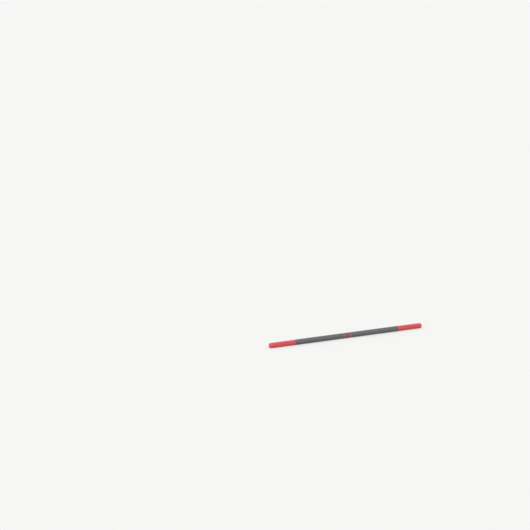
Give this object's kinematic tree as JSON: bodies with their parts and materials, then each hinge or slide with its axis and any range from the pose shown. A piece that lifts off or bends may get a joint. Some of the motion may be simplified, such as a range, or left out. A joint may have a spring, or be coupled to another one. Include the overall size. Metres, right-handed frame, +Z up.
{
  "type": "magic wand",
  "caption": "Slim round stage wand with a dark shaft, push-fit red tips and two thin red rings round a screw joint at the middle.",
  "frame": {"origin": "centre of the bounding box, on the wand's axis at the middle of its length, in the centre collar", "axes": "+X along the wand towards the half that carries the joint screw, +Z up"},
  "size_m": [0.356, 0.01, 0.01],
  "materials": {
    "shaft_coat": "satin dark-grey powder coat on drawn tube",
    "tip_lacquer": "gloss red lacquer",
    "ring_red": "satin red anodised, turned",
    "turned_aluminium": "natural, turned",
    "turned_brass": "turned",
    "screw_steel": "rolled thread, bright",
    "seal_rubber": "moulded nitrile",
    "wool_felt": "pressed wool felt"
  },
  "bodies": {
    "left_half": {"left_shaft_tube": "shaft_coat", "left_tip_spigot": "turned_aluminium", "left_grip_rings": "seal_rubber", "centre_collar": "shaft_coat", "joint_insert": "turned_brass", "left_trim_ring": "ring_red"},
    "left_tip": {"left_tip_sleeve": "tip_lacquer", "left_end_cap": "tip_lacquer", "left_tip_weight": "turned_brass", "left_felt_pad": "wool_felt"},
    "joint_ring": {"right_trim_ring": "ring_red"},
    "right_half": {"joint_screw": "screw_steel", "screw_carrier": "turned_aluminium", "joint_o_ring": "seal_rubber", "right_shaft_tube": "shaft_coat", "right_tip_spigot": "turned_aluminium", "right_grip_rings": "seal_rubber"},
    "right_tip": {"right_tip_sleeve": "tip_lacquer", "right_end_cap": "tip_lacquer", "right_tip_weight": "turned_brass", "right_felt_pad": "wool_felt"}
  },
  "joints": [
    {"name": "left_tip_pull", "type": "slide", "parent": "left_half", "child": "left_tip", "axis": [-1, 0, 0], "range_m": [0, 0.028]},
    {"name": "half_withdraw", "type": "slide", "parent": "left_half", "child": "joint_ring", "axis": [1, 0, 0], "range_m": [0, 0.0104]},
    {"name": "half_unscrew", "type": "hinge", "parent": "joint_ring", "child": "right_half", "pos_m": [0, 0, 0], "axis": [1, 0, 0], "range_deg": [0, 4680]},
    {"name": "right_tip_pull", "type": "slide", "parent": "right_half", "child": "right_tip", "axis": [1, 0, 0], "range_m": [0, 0.028]}
  ],
  "couplings": [
    {"joint": "half_unscrew", "follows": "half_withdraw", "rad_per_m": 7854}
  ]
}
